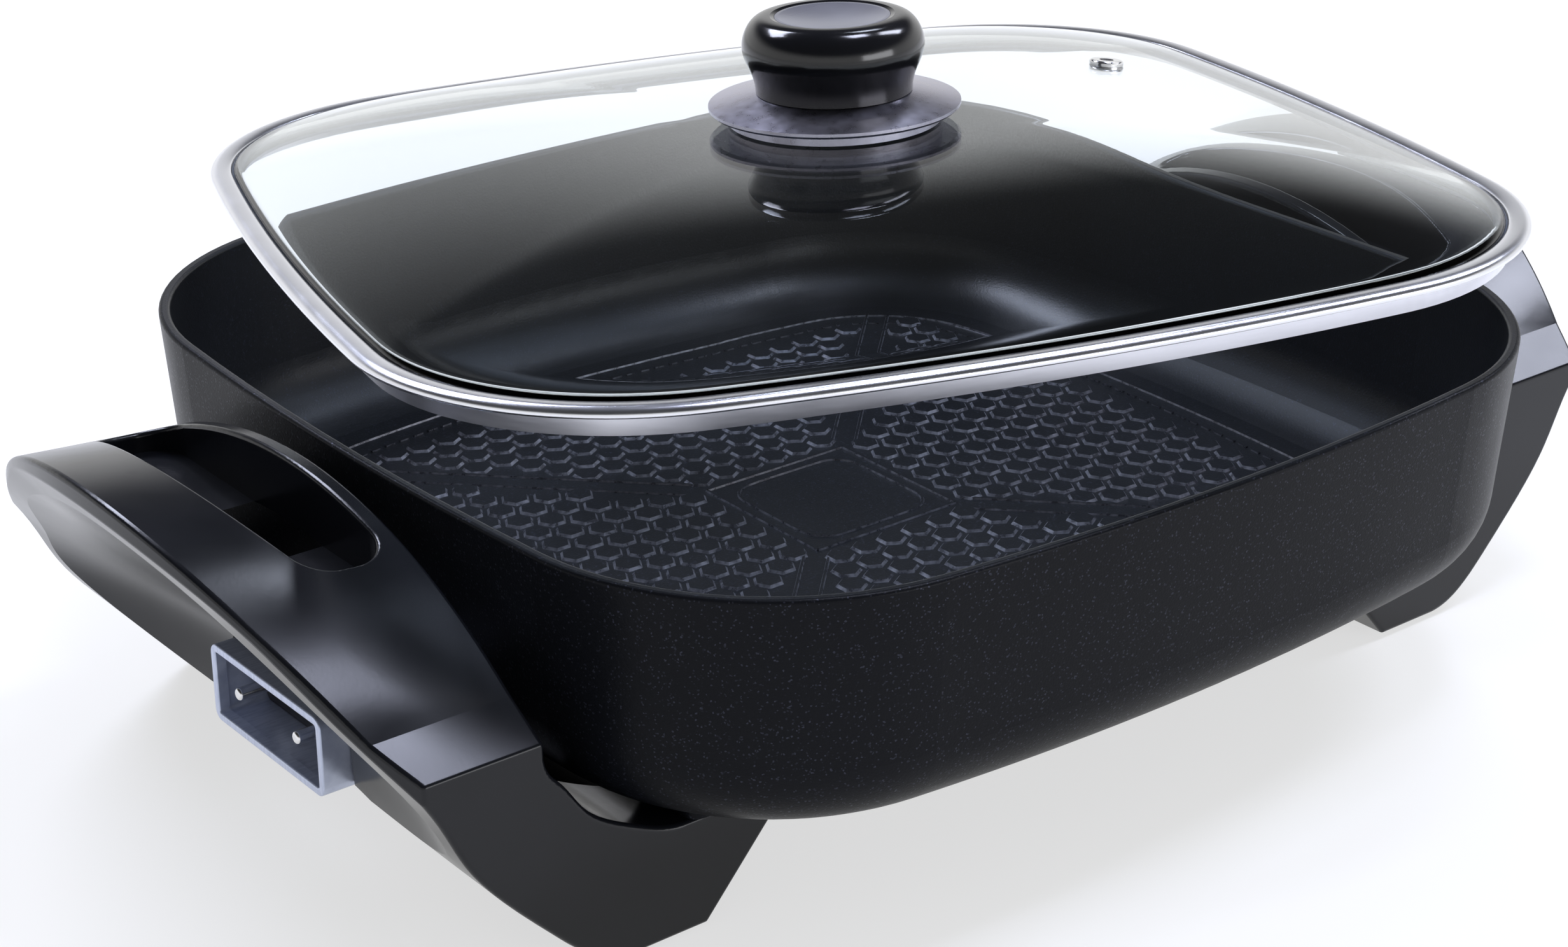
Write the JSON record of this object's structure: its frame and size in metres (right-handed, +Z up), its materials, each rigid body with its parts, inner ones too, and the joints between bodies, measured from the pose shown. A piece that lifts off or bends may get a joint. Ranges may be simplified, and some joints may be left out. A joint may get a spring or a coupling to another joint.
{
  "type": "electric skillet",
  "caption": "Square electric frying pan with bulging sides, arched slotted handles on legs, a recessed power socket and a loose domed glass lid with a round knob.",
  "frame": {"origin": "on the table plane, straight below the middle of the pan", "axes": "+X towards the plain handle, -X towards the handle with the power socket, +Y across the pan, +Z up"},
  "size_m": [0.438, 0.3306, 0.1796],
  "materials": {
    "coated_pan": "black non-stick coating on cast aluminium, fine sparkle",
    "heater_tube": "heat-dulled steel tube",
    "pin_metal": "nickel-plated power pins",
    "ceramic": "white ceramic bushes",
    "probe_metal": "drawn tube",
    "black_moulding": "heat-resistant black moulding",
    "shroud_steel": "formed sheet steel, satin",
    "screw_steel": "zinc-plated steel",
    "handle_plastic": "black phenolic, satin to gloss",
    "foot_rubber": "soft black pads",
    "insert_brass": "turned brass",
    "lid_glass": "clear tempered glass, faint blue tint",
    "band_steel": "polished stainless steel",
    "seal_rubber": "dark silicone",
    "knob_satin": "black phenolic, satin",
    "knob_gloss": "black phenolic, glossy",
    "dish_satin": "dark grey inset",
    "vent_metal": "plated eyelet"
  },
  "bodies": {
    "base": {"pan": "coated_pan", "heater_sheath": "heater_tube", "terminal_pins": "pin_metal", "pin_insulators": "ceramic", "probe_sleeve": "probe_metal", "terminal_block": "black_moulding", "socket_shroud": "shroud_steel", "shroud_screws": "screw_steel", "terminal_screws": "screw_steel", "left_handle": "handle_plastic", "right_handle": "handle_plastic", "handle_screws": "screw_steel", "handle_washers": "screw_steel", "foot_pads": "foot_rubber"},
    "lid_lifter": {"knob_insert": "insert_brass"},
    "lid": {"lid_glass": "lid_glass", "lid_band": "band_steel", "glass_seal": "seal_rubber", "knob_base": "knob_satin", "knob_grip": "knob_gloss", "knob_dish": "dish_satin", "knob_gasket": "seal_rubber", "under_washer": "screw_steel", "knob_screw": "screw_steel", "vent_grommet": "vent_metal"}
  },
  "joints": [
    {"name": "lid_lift", "type": "slide", "parent": "base", "child": "lid_lifter", "axis": [0, 0, 1], "range_m": [-0.03166, 0.04]},
    {"name": "lid_turn", "type": "hinge", "parent": "lid_lifter", "child": "lid", "pos_m": [0, 0, 0.16496], "axis": [0.1668, 0.0271, 0.9856], "range_deg": [-22.12, 17.52]}
  ],
  "couplings": [
    {"joint": "lid_turn", "follows": "lid_lift", "rad_per_m": -9.6304}
  ]
}
